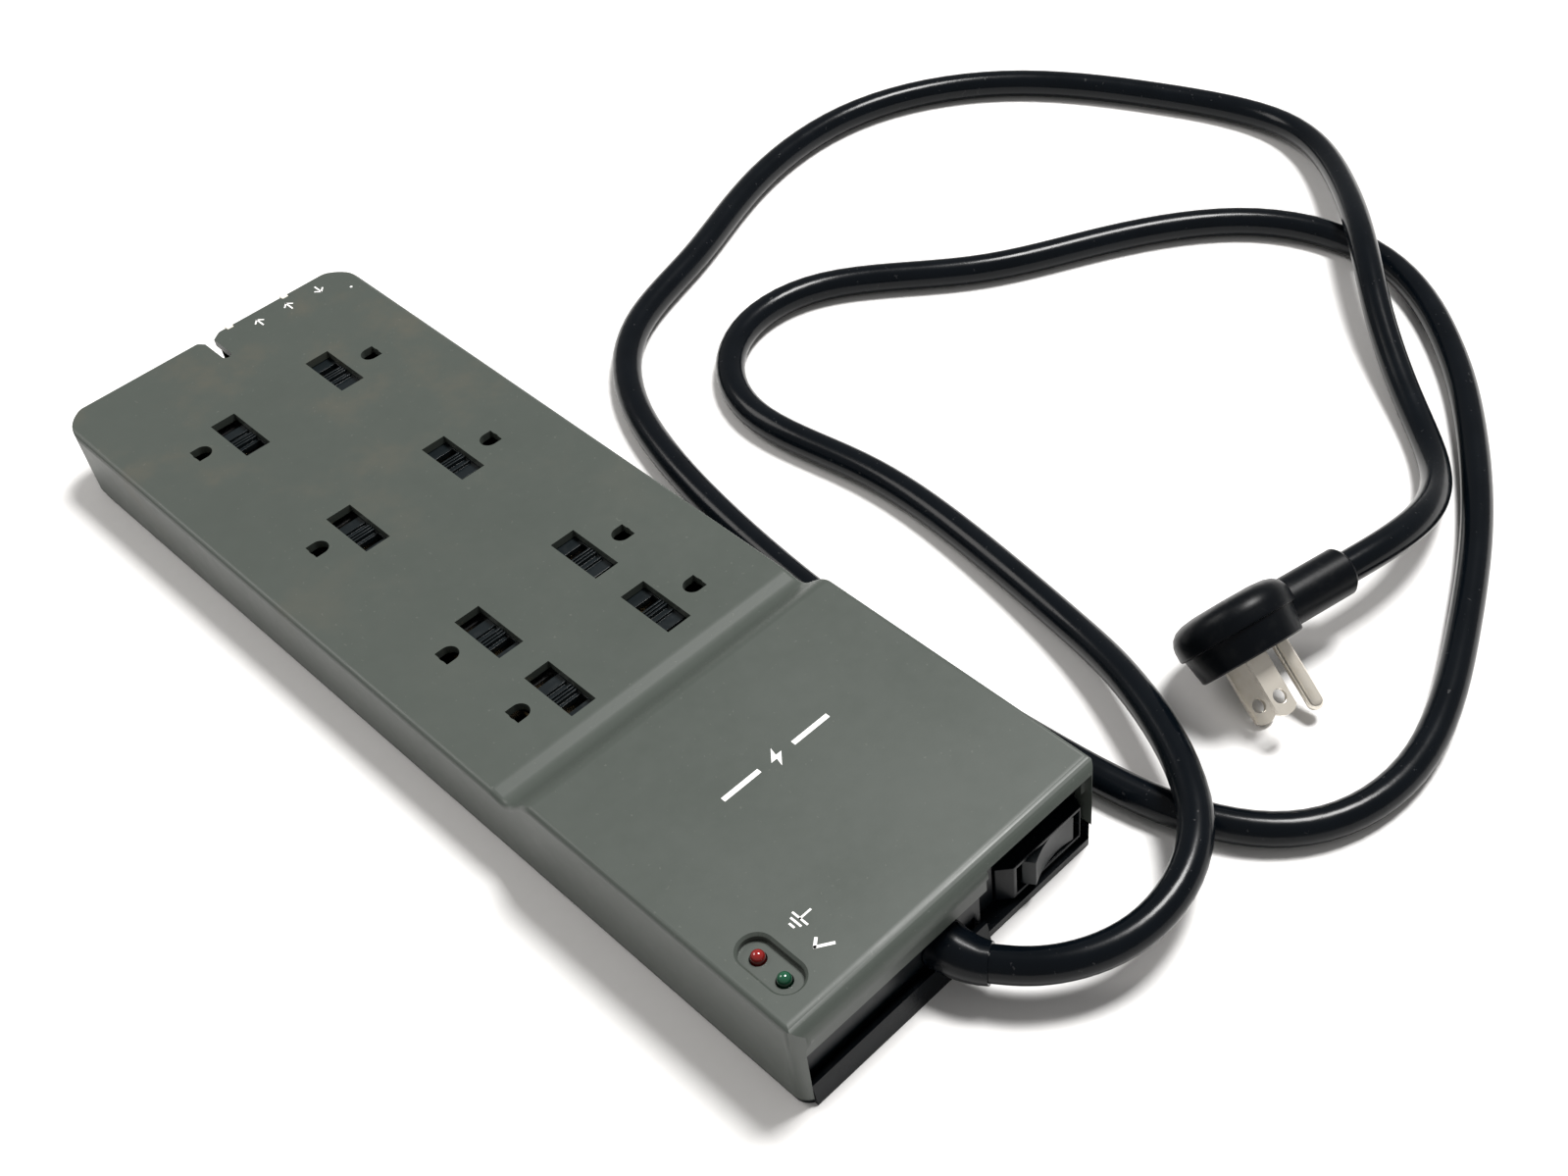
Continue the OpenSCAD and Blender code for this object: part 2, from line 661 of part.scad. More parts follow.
module switch_housing() {
    color([0.02, 0.02, 0.02])
    difference() {
        // body with a proud bezel whose flanks slope
        translate([0, 0, switch_z0]) linear_extrude(height = switch_z1 - switch_z0)
            polygon([[switch_x0, switch_y0], [bay_x + 0.6, switch_y0], [switch_x1, switch_y0 + 3.6],
                [switch_x1, switch_y1 - 1.3], [bay_x + 0.6, switch_y1], [switch_x0, switch_y1]]);
        // well for the rocker and its blind pin holes
        block([142, rocker_c.y - well_half, rocker_z0 - 0.4],
            [switch_x1 + 1, rocker_c.y + well_half, rocker_z1 + 0.4]);
        translate([rocker_c.x, rocker_c.y, rocker_z0 - 1.4])
            cylinder(h = rocker_z1 - rocker_z0 + 2.8, r = rocker_pin_r + pin_gap, $fn = round_fn);
    }
}

module switch_rocker() {
    dish = [for (k = [-8:2:8]) [6.9 + 1.4 * k * k / 64, -k * 8.3 / 8]];
    color([0.025, 0.025, 0.025])
    translate([rocker_c.x, rocker_c.y, 0]) rotate([0, 0, rocker_tilt]) {
        translate([0, 0, rocker_z0]) linear_extrude(height = rocker_z1 - rocker_z0)
            polygon(concat([[-3.5, -7], [-3.5, 7], [5.1, 9.8]], dish, [[5.1, -9.8]]));
        translate([0, 0, rocker_z0 - 1])
            cylinder(h = rocker_z1 - rocker_z0 + 2, r = rocker_pin_r, $fn = round_fn);
    }
}

module switch_terminals() {
    color([0.80, 0.62, 0.30])
    for (y = [25, 33.2, 41.4])
        difference() {
            block([switch_x0 - 8, y - 0.4, 7.5], [switch_x0, y + 0.4, 13.8]);
            translate([switch_x0 - 5, y + 2, 10.65]) rotate([90, 0, 0])
                cylinder(h = 4, r = 0.9, $fn = 24);
        }
}

// Telephone jack shell between two Y values, open towards low X
module jack(y, front) {
    mid = (y[0] + y[1]) / 2;
    difference() {
        block([front, y[0], jack_z0], [jack_x1, y[1], jack_z1]);
        block([-half_l - 1, mid - 4.85, jack_mid_z - 3.3], [-149.5, mid + 4.85, jack_mid_z + 3.3]);
        block([-half_l - 1, mid - 3, jack_mid_z - 5], [-151, mid + 3, jack_mid_z]);
    }
}

module phone_jack_out_1() {
    color([0.90, 0.88, 0.80]) {
        jack(jack_out_1, jack_front);
        block([-half_l, jack_out_1[0], 17], [-half_l + 2.2, jack_out_1[0] + ear_w, low_h]);
    }
}

module phone_jack_out_2() {
    color([0.90, 0.88, 0.80]) {
        jack(jack_out_2, jack_front);
        block([-half_l, jack_out_2[1] - ear_w, 17], [-half_l + 2.2, jack_out_2[1], low_h]);
    }
}

module phone_jack_in() {
    color([0.90, 0.88, 0.80]) jack(jack_in, jack_front + 0.9);
}

module phone_contacts() {
    color([0.85, 0.68, 0.30])
    for (j = [jack_out_1, jack_out_2, jack_in])
        for (k = [-1.5:1:1.5])
            block([-158, (j[0] + j[1]) / 2 + 1.02 * k - 0.2, jack_mid_z + 2.8],
                [-149.5, (j[0] + j[1]) / 2 + 1.02 * k + 0.2, jack_mid_z + 3.3]);
}

module phone_board() {
    color([0.10, 0.30, 0.14])
    block([-155, 7, phone_board_z], [-141, 42, phone_board_z + board_t]);
}

module phone_surge_tubes() {
    color([0.86, 0.84, 0.80])
    for (y = [13, 24, 38])
        translate([-144, y, phone_board_z + board_t + 2.6]) rotate([90, 0, 0])
            cylinder(h = 6, r = 2.6, center = true, $fn = 32);
}

// Tapered boot that turns with the cord as it leaves the housing
module strain_relief() {
    n = 6;
    tip = cord_points[0];
    out = unit(cord_points[1] - tip);
    path = [for (i = [0:n]) let (t = i / n)
        pow(1 - t, 3) * boot_start + 3 * t * pow(1 - t, 2) * (boot_start + [4.5, 0, 0])
        + 3 * t * t * (1 - t) * (tip - 4.5 * out) + pow(t, 3) * tip];
    color([0.02, 0.02, 0.02]) {
        translate([150.5, exit_y, exit_z]) rotate([0, 90, 0])
            difference() {
                union() {
                    cylinder(h = 5.2, r = 8, $fn = round_fn);
                    cylinder(h = boot_start.x - 150.5, r = 6.3, $fn = round_fn);
                }
                translate([0, 0, -1]) cylinder(h = 4, r = cord_r, $fn = round_fn);
            }
        tube(path, [for (i = [0:n]) 6.6 - 1.3 * i / n], 24, [1, 0, 0], out);
    }
}

module cord_jacket() {
    color([0.02, 0.02, 0.02])
    translate([126, exit_y, exit_z]) rotate([0, 90, 0])
        cylinder(h = 27.5, r = cord_r, $fn = round_fn);
}

module cord_clamp() {
    color([0.10, 0.10, 0.10])
    difference() {
        block([138, -13, exit_z + 1], [146, 7, exit_z + 8]);
        translate([137, exit_y, exit_z]) rotate([0, 90, 0])
            cylinder(h = 10, r = cord_r + 0.1, $fn = round_fn);
    }
}

module wire_hot() {
    color([0.05, 0.05, 0.05])
    wire([[126, exit_y, exit_z + 2.4], [121, -2, 19], [119, 10, 22], [124, 22, 21],
        [130, 24.8, 17], [131, 25, 13.8]], 1.2);
}

module wire_neutral() {
    color([0.88, 0.88, 0.86])
    wire([[126, exit_y - 2, exit_z - 1.6], [121, -8, 13], [115, -16, 16], [109, -25, 15.5],
        [106.4, -28.2, 12], [105.4, -29.4, board_top + 0.7]], 1.2);
}

module wire_ground() {
    color([0.06, 0.42, 0.16])
    wire([[126, exit_y + 2, exit_z - 1.6], [121, 3, 12], [116, 14, 13.5], [109.5, 25, 14.5],
        [106.4, 28.2, 12], [105.4, 29.4, board_top + 0.7]], 1.2);
}

module power_cord() {
    path = curve(cord_points, rings_per_span);
    m = len(path);
    color([0.02, 0.02, 0.02])
    tube(path, [for (i = [0:m - 1]) cord_r], cord_sides,
        unit(cord_points[1] - cord_points[0]), unit(cord_end - cord_lead));
}

// Places children in plug coordinates: X along the blades, Y to the cord boss
module in_plug() {
    translate(plug_o) rotate([0, plug_dip, plug_turn]) children();
}

module plug_body() {
    color([0.02, 0.02, 0.02])
    in_plug() {
        // front tier, crease, and the wider rounded back
        translate([0, 2.9, 0]) rotate([0, -90, 0])
            rotate_extrude($fn = 96)
            polygon([[0, 0], [14.6, 0], [15.1, 0.4], [16.2, 7.6], [17.1, 7.9], [17.3, 8.6],
                [17.3, 11], [17, 12.6], [16.1, 14.3], [14.6, 15.6], [12.4, 16.4], [9, 16.8],
                [0, 17]]);
        // cord boss
        translate([-boss_back, 10, 0]) rotate([-90, 0, 0])
            cylinder(h = boss_end - 11, r = 6.9, $fn = round_fn);
        translate([-boss_back, boss_end - 1.01, 0]) rotate([-90, 0, 0])
            cylinder(h = 1.01, r1 = 6.9, r2 = 6.1, $fn = round_fn);
    }
}

// Blade in plug coordinates with a rounded tip and a cross hole
module blade(z) {
    r = blade_w / 2;
    color([0.80, 0.76, 0.68])
    in_plug() translate([0, 0, z - blade_t / 2])
        difference() {
            union() {
                translate([0, -r, 0]) cube([blade_len - 2.2, blade_w, blade_t]);
                intersection() {
                    translate([blade_len - 4.2, 0, 0]) cylinder(h = blade_t, r = 4.2, $fn = round_fn);
                    translate([blade_len - 5, -r, -1]) cube([6, blade_w, blade_t + 2]);
                }
            }
            translate([11.9, 0, -1]) cylinder(h = blade_t + 2, r = 2, $fn = 32);
        }
}

module plug_blade_neutral() { blade(blade_pitch / 2); }
module plug_blade_hot() { blade(-blade_pitch / 2); }

module plug_ground_pin() {
    color([0.80, 0.76, 0.68])
    in_plug() translate([0, earth_offset, 0]) {
        rotate([0, 90, 0]) cylinder(h = earth_len - earth_r, r = earth_r, $fn = round_fn);
        translate([earth_len - earth_r, 0, 0]) sphere(r = earth_r, $fn = round_fn);
    }
}

module cover_screws() {
    color([0.70, 0.70, 0.72])
    for (x = screw_x) for (s = [-1, 1]) translate([x, s * screw_y, 0])
        difference() {
            union() {
                translate([0, 0, 1.2]) cylinder(h = 2, r = 2.9, $fn = 32);
                translate([0, 0, 2.5]) cylinder(h = 12, r = 1.4, $fn = 24);
            }
            for (a = [0, 90]) rotate([0, 0, a])
                translate([-1.7, -0.35, 0]) cube([3.4, 0.7, 2.2]);
        }
}

top_cover();
base_tray();
shutter_left_1();
shutter_left_2();
shutter_left_3();
shutter_left_4();
shutter_right_1();
shutter_right_2();
shutter_right_3();
shutter_right_4();
shutter_guide_left();
shutter_guide_right();
bus_hot_left();
bus_hot_right();
bus_neutral_left();
bus_neutral_right();
bus_ground_left();
bus_ground_right();
circuit_board();
board_screws();
varistors();
thermal_fuse();
filter_choke();
filter_capacitor();
led_red();
led_green();
led_board();
switch_housing();
switch_rocker();
switch_terminals();
phone_jack_out_1();
phone_jack_out_2();
phone_jack_in();
phone_contacts();
phone_board();
phone_surge_tubes();
strain_relief();
cord_jacket();
cord_clamp();
wire_hot();
wire_neutral();
wire_ground();
power_cord();
plug_body();
plug_blade_hot();
plug_blade_neutral();
plug_ground_pin();
cover_screws();
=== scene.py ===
"""Looks for a corded surge protector strip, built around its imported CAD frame.

Every length is in metres in the part's own frame: X runs along the strip to the
cord end, Y across it, Z up, with the origin under the middle of the housing.
"""

import json
import logging
import math
from dataclasses import dataclass
from enum import Enum
from typing import Any, Iterable, Sequence

import bpy
from mathutils import Matrix, Quaternion, Vector

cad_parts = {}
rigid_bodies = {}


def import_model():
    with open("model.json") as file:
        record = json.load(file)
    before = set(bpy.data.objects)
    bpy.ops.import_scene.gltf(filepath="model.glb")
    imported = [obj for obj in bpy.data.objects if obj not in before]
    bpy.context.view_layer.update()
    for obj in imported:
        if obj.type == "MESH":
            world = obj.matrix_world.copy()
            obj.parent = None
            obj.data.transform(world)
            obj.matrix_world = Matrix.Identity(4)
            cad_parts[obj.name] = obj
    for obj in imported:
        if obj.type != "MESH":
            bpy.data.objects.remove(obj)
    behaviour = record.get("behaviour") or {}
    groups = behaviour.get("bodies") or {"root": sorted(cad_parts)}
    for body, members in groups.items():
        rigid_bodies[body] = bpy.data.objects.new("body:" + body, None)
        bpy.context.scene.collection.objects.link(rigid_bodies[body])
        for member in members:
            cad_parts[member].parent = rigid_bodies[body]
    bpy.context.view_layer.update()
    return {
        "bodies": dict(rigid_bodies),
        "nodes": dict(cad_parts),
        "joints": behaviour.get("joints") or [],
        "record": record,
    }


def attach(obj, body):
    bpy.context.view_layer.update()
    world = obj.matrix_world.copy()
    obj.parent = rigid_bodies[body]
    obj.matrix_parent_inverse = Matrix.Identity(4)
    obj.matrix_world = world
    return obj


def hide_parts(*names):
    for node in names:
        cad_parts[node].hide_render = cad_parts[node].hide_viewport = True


LOG = logging.getLogger("strip")
MM = 0.001
Colour = tuple[float, float, float]
Point = tuple[float, float, float]
FlatPoint = tuple[float, float]

# In millimetres: how close corners are when they are one corner, the thickness of
# printed ink, and the height of its middle above the deck.
WELD = 0.002
INK_DEPTH = 0.03
INK_LIFT = 0.02
# In degrees: faces that differ by less are merged, and edges sharper than the second
# stay crisp.
FLAT_ANGLE = 0.6
CRISP_ANGLE = 32.0


def mm(*values: float) -> Vector:
    """A point given in millimetres, in metres."""
    return Vector([v * MM for v in values])


# --------------------------------------------------------------- shader maths


class Value:
    """A shader socket that takes part in Python arithmetic."""

    def __init__(self, graph: "Graph", socket: bpy.types.NodeSocket) -> None:
        """Keeps the graph that new Math nodes go in, and the socket."""
        self.graph = graph
        self.socket = socket

    def apply(self, operation: str, *others: Any) -> "Value":
        """Adds one Math node.

        Args:
            operation: the Math node's operation.
            others: the second and third values, numbers or Values.

        Returns:
            The node's result.
        """
        inputs = {0: self}
        inputs.update({i + 1: other for i, other in enumerate(others)})
        node = self.graph.node("ShaderNodeMath", {"operation": operation}, inputs)
        return Value(self.graph, node.outputs[0])

    def _swapped(self, operation: str, other: float) -> "Value":
        """The operation with the number first and this socket second."""
        node = self.graph.node(
            "ShaderNodeMath", {"operation": operation}, {0: other, 1: self}
        )
        return Value(self.graph, node.outputs[0])

    def __add__(self, other: Any) -> "Value":
        """Sum."""
        return self.apply("ADD", other)

    def __radd__(self, other: float) -> "Value":
        """Sum with a number on the left."""
        return self._swapped("ADD", other)

    def __sub__(self, other: Any) -> "Value":
        """Difference."""
        return self.apply("SUBTRACT", other)

    def __rsub__(self, other: float) -> "Value":
        """Difference from a number on the left."""
        return self._swapped("SUBTRACT", other)

    def __mul__(self, other: Any) -> "Value":
        """Product."""
        return self.apply("MULTIPLY", other)

    def above(self, edge: float, soft: float) -> "Value":
        """Tells where the value is above an edge.

        Args:
            edge: the value at which the result is a half.
            soft: the width over which the result goes from zero to one.

        Returns:
            Zero below the edge and one above it.
        """
        node = self.graph.node(
            "ShaderNodeMapRange",
            {"interpolation_type": "SMOOTHSTEP"},
            {0: self, 1: edge - soft / 2, 2: edge + soft / 2, 3: 0.0, 4: 1.0},
        )
        return Value(self.graph, node.outputs[0])


class Graph:
    """A material's node tree with short ways to add nodes."""

    def __init__(self, name: str) -> None:
        """Starts an empty material that holds one Principled shader."""
        self.material = bpy.data.materials.new(name)
        self.material.use_nodes = True
        self.tree = self.material.node_tree
        self.tree.nodes.clear()
        self.shader = self.tree.nodes.new("ShaderNodeBsdfPrincipled")
        output = self.tree.nodes.new("ShaderNodeOutputMaterial")
        self.tree.links.new(self.shader.outputs[0], output.inputs[0])
        place = self.tree.nodes.new("ShaderNodeTexCoord")
        self.place = place.outputs["Object"]

    def node(
        self, kind: str, settings: dict[str, Any], inputs: dict[Any, Any]
    ) -> bpy.types.Node:
        """Adds a node.

        Args:
            kind: the node's type name.
            settings: the node's attributes, set before its inputs.
            inputs: a value, socket or Value for each input, by index or name.

        Returns:
            The new node.
        """
        node = self.tree.nodes.new(kind)
        for name, value in settings.items():
            setattr(node, name, value)
        for key, value in inputs.items():
            self.feed(node.inputs[key], value)
        return node

    def feed(self, target: bpy.types.NodeSocket, value: Any) -> None:
        """Links a socket or sets its value."""
        if isinstance(value, Value):
            value = value.socket
        if isinstance(value, bpy.types.NodeSocket):
            self.tree.links.new(value, target)
        elif isinstance(value, tuple) and len(value) == 3 and target.type == "RGBA":
            target.default_value = (*value, 1.0)
        else:
            target.default_value = value

    def noise(self, scale: float, detail: float = 3.0, rough: float = 0.5) -> Value:
        """Adds noise on the piece's own coordinates.

        Args:
            scale: features a metre.
            detail: octaves of finer noise.
            rough: how strong the finer octaves are.

        Returns:
            The noise, about a half on average.
        """
        node = self.node(
            "ShaderNodeTexNoise",
            {"noise_dimensions": "3D"},
            {"Vector": self.place, "Scale": scale, "Detail": detail, "Roughness": rough},
        )
        return Value(self, node.outputs[0])

    def stretched_noise(self, scale: float, stretch: Point) -> Value:
        """Adds noise drawn out along an axis.

        Args:
            scale: features a metre.
            stretch: a factor on each coordinate; a small one draws the noise out.

        Returns:
            The noise, about a half on average.
        """
        place = self.node("ShaderNodeMapping", {}, {"Vector": self.place, "Scale": stretch})
        node = self.node(
            "ShaderNodeTexNoise",
            {"noise_dimensions": "3D"},
            {"Vector": place.outputs[0], "Scale": scale, "Detail": 2.0},
        )
        return Value(self, node.outputs[0])

    def axis(self, index: int) -> Value:
        """The surface point's X, Y or Z coordinate, by its index."""
        node = self.node("ShaderNodeSeparateXYZ", {}, {0: self.place})
        return Value(self, node.outputs[index])

    def mix(self, amount: Any, low: Any, high: Any) -> bpy.types.NodeSocket:
        """Blends two colours.

        Args:
            amount: zero for the first colour and one for the second.
            low: the first colour.
            high: the second colour.

        Returns:
            The blended colour.
        """
        node = self.node(
            "ShaderNodeMix",
            {"data_type": "RGBA", "clamp_factor": True},
            {0: amount, 6: low, 7: high},
        )
        return node.outputs[2]

    def bump(
        self, height: Value, strength: float, distance: float
    ) -> bpy.types.NodeSocket:
        """Turns a height map into a normal.

        Args:
            height: the height map, from zero to one.
            strength: how much of the relief shows.
            distance: the relief's depth in metres.

        Returns:
            The normal.
        """
        node = self.node(
            "ShaderNodeBump",
            {},
            {"Strength": strength, "Distance": distance, "Height": height},
        )
        return node.outputs[0]

    def finish(self, **sockets: Any) -> bpy.types.Material:
        """Feeds the shader.

        Args:
            sockets: a value for each socket, its name's spaces as underscores.

        Returns:
            The finished material.
        """
        for name, value in sockets.items():
            self.feed(self.shader.inputs[name.replace("_", " ")], value)
        return self.material


# ------------------------------------------------------------------- finishes


def shade(colour: Colour, factor: float) -> Colour:
    """A darker or lighter colour."""
    return tuple(min(1.0, channel * factor) for channel in colour)


@dataclass(frozen=True)
class TexturedCase:
    """Fine spark-eroded texture of a moulded case, with handling marks and dust."""

    name: str
    colour: Colour
    stain: Colour
    rough: float = 0.42
    shine: float = 0.42
    grain: float = 1500.0
    worn_end: float = -0.04
    worn_fade: float = 0.16
    worn: float = 0.42

    def build(self) -> bpy.types.Material:
        """Makes the material."""
        g = Graph(self.name)
        cloud = g.noise(14.0, 4.0)
        smear = g.noise(38.0, 5.0, 0.62)
        mottle = g.noise(260.0, 4.0, 0.6)
        grain = g.noise(self.grain, 2.0)
        speck = g.noise(900.0, 1.0).above(0.76, 0.03)
        base = g.mix(
            cloud * 0.7 + mottle * 0.3, shade(self.colour, 0.91), shade(self.colour, 1.05)
        )
        # handling marks gather on the outlet deck, away from the cord end
        far = 1.0 - g.axis(0).above(self.worn_end, self.worn_fade)
        base = g.mix(smear.above(0.60, 0.22) * far * self.worn, base, self.stain)
        base = g.mix(speck * 0.06, base, (0.45, 0.45, 0.40))
        rough = self.rough + (smear - 0.5) * 0.20 + (mottle - 0.5) * 0.08
        height = grain * 0.7 + mottle * 0.3
        return g.finish(
            Base_Color=base,
            Roughness=rough,
            Specular_IOR_Level=self.shine,
            Normal=g.bump(height, 0.14, 0.00007),
        )


@dataclass(frozen=True)
class MouldedPlastic:
    """Plain injection-moulded plastic with faint flow and dust."""

    name: str
    colour: Colour
    rough: float = 0.35
    dust: float = 0.12
    dust_colour: Colour = (0.30, 0.29, 0.27)
    grain: float = 900.0
    depth: float = 0.00004
    shine: float = 0.45

    def build(self) -> bpy.types.Material:
        """Makes the material."""
        g = Graph(self.name)
        flow = g.noise(60.0, 4.0)
        grain = g.noise(self.grain, 3.0)
        dusty = g.noise(220.0, 5.0, 0.65).above(0.62, 0.20)
        base = g.mix(flow, shade(self.colour, 0.80), shade(self.colour, 1.20))
        base = g.mix(dusty * self.dust, base, self.dust_colour)
        rough = self.rough + (flow - 0.5) * 0.16 + dusty * 0.10
        return g.finish(
            Base_Color=base,
            Roughness=rough,
            Specular_IOR_Level=self.shine,
            Normal=g.bump(grain, 0.20, self.depth),
        )


@dataclass(frozen=True)
class CordJacket:
    """Glossy black jacket with the lay of the cores just showing and a little dust."""

    name: str
    colour: Colour = (0.0011, 0.0019, 0.0030)
    rough: float = 0.20
    shine: float = 0.17
    depth: float = 0.00022

    def build(self) -> bpy.types.Material:
        """Makes the material."""
        g = Graph(self.name)
        waves = g.noise(70.0, 3.0)
        skin = g.noise(700.0, 3.0)
        lint = g.noise(480.0, 2.0, 0.7).above(0.71, 0.05)
        base = g.mix(waves, self.colour, shade(self.colour, 2.0))
        base = g.mix(lint * 0.06, base, (0.22, 0.22, 0.22))
        rough = self.rough + (waves - 0.5) * 0.18 + lint * 0.2
        height = waves * 0.75 + skin * 0.25
        return g.finish(
            Base_Color=base,
            Roughness=rough,
            Specular_IOR_Level=self.shine,
            Normal=g.bump(height, 0.22, self.depth),
        )


@dataclass(frozen=True)
class PlatedMetal:
    """Bright metal with fine drawn scratches and some tarnish."""

    name: str
    colour: Colour
    rough: float = 0.2
    tarnish: Colour = (0.42, 0.34, 0.24)
    metallic: float = 1.0

    def build(self) -> bpy.types.Material:
        """Makes the material."""
        g = Graph(self.name)
        drawn = g.stretched_noise(420.0, (0.2, 1.0, 1.0))
        cloud = g.noise(180.0, 4.0)
        base = g.mix(cloud.above(0.62, 0.3) * 0.5, self.colour, self.tarnish)
        rough = self.rough + (drawn - 0.5) * 0.16 + (cloud - 0.5) * 0.10
        return g.finish(
            Base_Color=base,
            Metallic=self.metallic,
            Roughness=rough,
            Normal=g.bump(drawn, 0.12, 0.00003),
        )


@dataclass(frozen=True)
class LampLens:
    """Tinted lamp lens with painted shade at its foot, so it is darker at its foot than at
    its top.
    """

    name: str
    colour: Colour
    glow: float
    middle: float = 0.0312
    fade: float = 0.0022

    def build(self) -> bpy.types.Material:
        """Makes the material."""
        g = Graph(self.name)
        swirl = g.noise(900.0, 2.0)
        # Painted shade: below the given height the lens darkens to about a third of its
        # colour, standing in for shade in the recess around its foot.
        unshaded_top = g.axis(2).above(self.middle, self.fade)
        base = g.mix(unshaded_top * 0.8 + swirl * 0.2, shade(self.colour, 0.35), self.colour)
        return g.finish(
            Base_Color=base,
            Roughness=0.08 + swirl * 0.06,
            Coat_Weight=0.8,
            Coat_Roughness=0.04,
            Transmission_Weight=0.25,
            Emission_Color=base,
            Emission_Strength=self.glow,
        )


@dataclass(frozen=True)
class BoardLacquer:
    """Green solder lacquer over glass fibre, with the copper tracks just showing."""

    name: str
    colour: Colour = (0.02, 0.12, 0.05)

    def build(self) -> bpy.types.Material:
        """Makes the material."""
        g = Graph(self.name)
        weave = g.noise(1600.0, 2.0)
        tracks = g.stretched_noise(160.0, (1.0, 0.2, 1.0)).above(0.55, 0.04)
        base = g.mix(tracks * 0.7, self.colour, shade(self.colour, 1.7))
        return g.finish(
            Base_Color=base,
            Roughness=0.32 + weave * 0.1,
            Normal=g.bump(weave * 0.5 + tracks * 0.5, 0.2, 0.00003),
        )


@dataclass(frozen=True)
class PrintedInk:
    """Pad-printed white ink, slightly worn through."""

    name: str
    colour: Colour = (0.86, 0.86, 0.84)

    def build(self) -> bpy.types.Material:
        """Makes the material."""
        g = Graph(self.name)
        wear = g.noise(1400.0, 3.0).above(0.70, 0.15)
        return g.finish(
            Base_Color=g.mix(wear * 0.5, self.colour, (0.45, 0.47, 0.45)),
            Roughness=0.55 + wear * 0.1,
        )


class Slot(Enum):
    """The record's material slots."""

    COVER = "cover_abs"
    BLACK = "black_abs"
    SHUTTER = "shutter_abs"
    GUIDE = "guide_abs"
    BRASS = "contact_brass"
    BOARD = "board_green"
    SCREW = "screw_steel"
    BLUE = "component_blue"
    METAL = "component_metal"
    COPPER = "component_copper"
    YELLOW = "component_yellow"
    RED_LENS = "lens_red"
    GREEN_LENS = "lens_green"
    IVORY = "jack_ivory"
    CERAMIC = "tube_ceramic"
    CORD = "cord_rubber"
    PLUG = "plug_rubber"
    BLADE = "blade_nickel"
    WIRE_BLACK = "wire_black"
    WIRE_WHITE = "wire_white"
    WIRE_GREEN = "wire_green"


FINISHES: dict[Slot, Any] = {
    Slot.COVER: TexturedCase(
        "cover_case", colour=(0.0545, 0.0645, 0.0562), stain=(0.084, 0.076, 0.056)
    ),
    Slot.BLACK: MouldedPlastic(
        "base_black", (0.0016, 0.0029, 0.0044), rough=0.28, dust=0.008, shine=0.15
    ),
    Slot.SHUTTER: MouldedPlastic(
        "shutter_black", (0.0062, 0.0092, 0.0108), rough=0.30, dust=0.012,
        depth=0.00001, shine=0.24,
    ),
    Slot.GUIDE: MouldedPlastic(
        "guide_black", (0.010, 0.010, 0.011), rough=0.45, dust=0.20
    ),
    Slot.BRASS: PlatedMetal("contact_strip", (0.80, 0.58, 0.28), rough=0.28),
    Slot.BOARD: BoardLacquer("board_lacquer"),
    Slot.SCREW: PlatedMetal("screw_zinc", (0.62, 0.62, 0.64), rough=0.3),
    Slot.BLUE: MouldedPlastic(
        "varistor_coating", (0.02, 0.08, 0.30), rough=0.4, dust=0.1
    ),
    Slot.METAL: PlatedMetal("fuse_case", (0.70, 0.70, 0.72), rough=0.25),
    Slot.COPPER: PlatedMetal("choke_winding", (0.72, 0.33, 0.12), rough=0.3),
    Slot.YELLOW: MouldedPlastic(
        "capacitor_case", (0.62, 0.40, 0.05), rough=0.4, dust=0.1
    ),
    Slot.RED_LENS: LampLens("lamp_red", (0.30, 0.008, 0.006), glow=0.03),
    Slot.GREEN_LENS: LampLens("lamp_green", (0.006, 0.10, 0.045), glow=0.02),
    Slot.IVORY: MouldedPlastic(
        "jack_ivory", (0.78, 0.75, 0.66), rough=0.4, dust=0.12
    ),
    Slot.CERAMIC: MouldedPlastic(
        "surge_tube", (0.78, 0.76, 0.70), rough=0.3, dust=0.1
    ),
    Slot.CORD: CordJacket("cord_jacket_black"),
    Slot.PLUG: MouldedPlastic(
        "plug_black", (0.0012, 0.0020, 0.0032), rough=0.34, dust=0.008,
        depth=0.00006, shine=0.13,
    ),
    Slot.BLADE: PlatedMetal(
        "blade_nickel", (0.84, 0.79, 0.70), rough=0.16, tarnish=(0.62, 0.55, 0.45),
        metallic=0.62,
    ),
    Slot.WIRE_BLACK: CordJacket("wire_black"),
    Slot.WIRE_WHITE: MouldedPlastic(
        "wire_white", (0.75, 0.75, 0.72), rough=0.4, dust=0.1
    ),
    Slot.WIRE_GREEN: MouldedPlastic(
        "wire_green", (0.02, 0.22, 0.06), rough=0.4, dust=0.1
    ),
}


class Paint:
    """Builds each finish once and hands it out by slot."""

    def __init__(self) -> None:
        """Builds all finishes and the printing ink."""
        self.made = {slot: finish.build() for slot, finish in FINISHES.items()}
        self.ink = PrintedInk("print_white").build()

    def dress(self, piece: bpy.types.Object, slot: Slot) -> None:
        """Gives a piece one slot's finish."""
        piece.data.materials.clear()
        piece.data.materials.append(self.made[slot])


# ------------------------------------------------------------------ workbench


